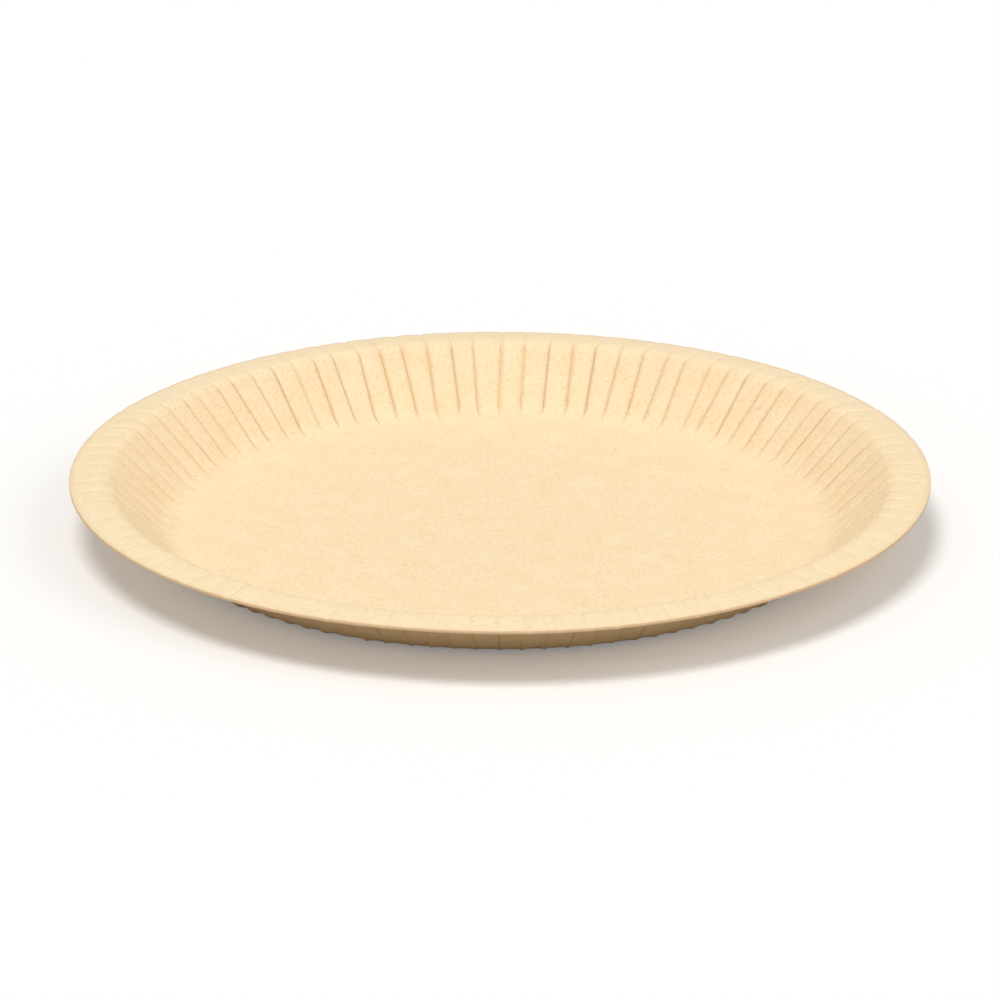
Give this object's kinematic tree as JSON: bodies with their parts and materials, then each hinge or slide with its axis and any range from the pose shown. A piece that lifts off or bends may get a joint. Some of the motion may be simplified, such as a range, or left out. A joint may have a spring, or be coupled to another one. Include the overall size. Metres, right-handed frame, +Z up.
{
  "type": "paper plate",
  "caption": "Round disposable plate of pale kraft paperboard, with a flat floor, a pleated sloping wall and a narrow flange.",
  "frame": {"origin": "centre of the underside of the floor, on the surface that the plate stands on", "axes": "+Z up along the plate's axis, out of the dish; X and Y lie in the floor and are alike"},
  "size_m": [0.2, 0.2, 0.015],
  "materials": {
    "paperboard": "matt pale kraft board, pressed hot, with a faint calendered sheen"
  },
  "bodies": {
    "root": {"plate": "paperboard"}
  },
  "joints": []
}
